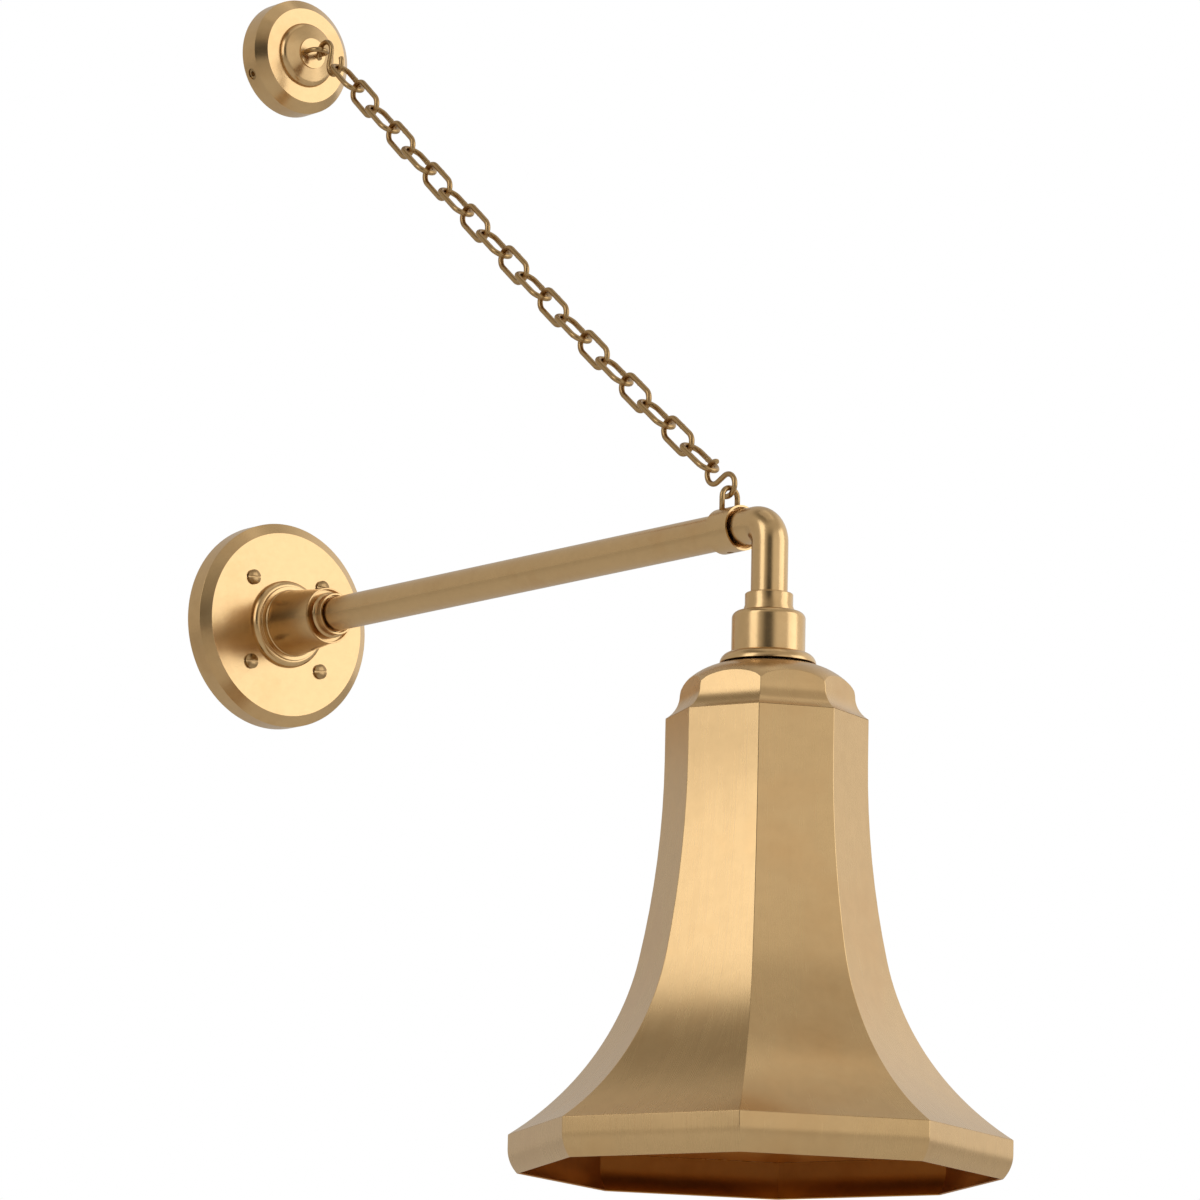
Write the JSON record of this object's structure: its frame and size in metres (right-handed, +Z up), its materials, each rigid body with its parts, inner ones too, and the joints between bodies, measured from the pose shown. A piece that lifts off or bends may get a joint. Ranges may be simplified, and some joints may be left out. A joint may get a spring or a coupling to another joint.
{
  "type": "wall sconce",
  "caption": "Antique brass wall sconce: a straight arm stayed by a chain from a small canopy, with an elbow hanging an eight-sided bell shade mouth down.",
  "frame": {"origin": "centre of the wall plate, on the wall", "axes": "+Z up, +Y into the wall, so the arm runs out along -Y"},
  "size_m": [0.3096, 0.6773, 0.8473],
  "materials": {
    "antique_brass": "satin antique, lacquered",
    "chain_brass": "satin antique",
    "screw_bronze": "darkened",
    "plain_brass": "plain turned",
    "zinc_steel": "zinc plated",
    "porcelain": "glazed porcelain"
  },
  "bodies": {
    "wall_frame": {"wall_plate": "antique_brass", "plate_screws": "screw_bronze", "mounting_bracket": "zinc_steel", "base_ring": "antique_brass", "arm_socket": "antique_brass", "arm_ring": "antique_brass", "arm_tube": "antique_brass", "lock_nut": "plain_brass", "end_collar": "antique_brass", "chain_loop": "chain_brass", "collar_set_screw": "screw_bronze", "canopy": "antique_brass", "canopy_set_screw": "screw_bronze", "canopy_bracket": "zinc_steel", "canopy_loop": "chain_brass"},
    "chain": {"s_hook_upper": "chain_brass", "link_01": "chain_brass", "link_02": "chain_brass", "link_03": "chain_brass", "link_04": "chain_brass", "link_05": "chain_brass", "link_06": "chain_brass", "link_07": "chain_brass", "link_08": "chain_brass", "link_09": "chain_brass", "link_10": "chain_brass", "link_11": "chain_brass", "link_12": "chain_brass", "link_13": "chain_brass", "link_14": "chain_brass", "link_15": "chain_brass", "link_16": "chain_brass", "link_17": "chain_brass", "link_18": "chain_brass", "link_19": "chain_brass", "s_hook_lower": "chain_brass"},
    "pendant": {"swivel_stem": "plain_brass", "swivel_nut": "plain_brass", "elbow": "antique_brass", "neck_collar": "antique_brass", "socket_cup": "antique_brass", "shade_flange": "antique_brass", "cup_nipple": "plain_brass", "cup_nipple_nut": "plain_brass", "lampholder_body": "porcelain", "lampholder_shell": "plain_brass", "lampholder_contact": "plain_brass", "shade_nut": "plain_brass"},
    "shade": {"shade_cap": "antique_brass", "shade_bell": "antique_brass", "shade_rim": "antique_brass"}
  },
  "joints": [
    {"name": "chain_swing", "type": "hinge", "parent": "wall_frame", "child": "chain", "pos_m": [0, -0.483, 0.0272], "axis": [0, -0.7655, -0.6435], "range_deg": [-12, 12]},
    {"name": "elbow_swivel", "type": "hinge", "parent": "wall_frame", "child": "pendant", "pos_m": [0, -0.49, 0], "axis": [0, -1, 0], "range_deg": [-30, 30]},
    {"name": "shade_turn", "type": "hinge", "parent": "pendant", "child": "shade", "pos_m": [0, -0.5225, -0.0903], "axis": [0, 0, 1], "continuous": true}
  ]
}
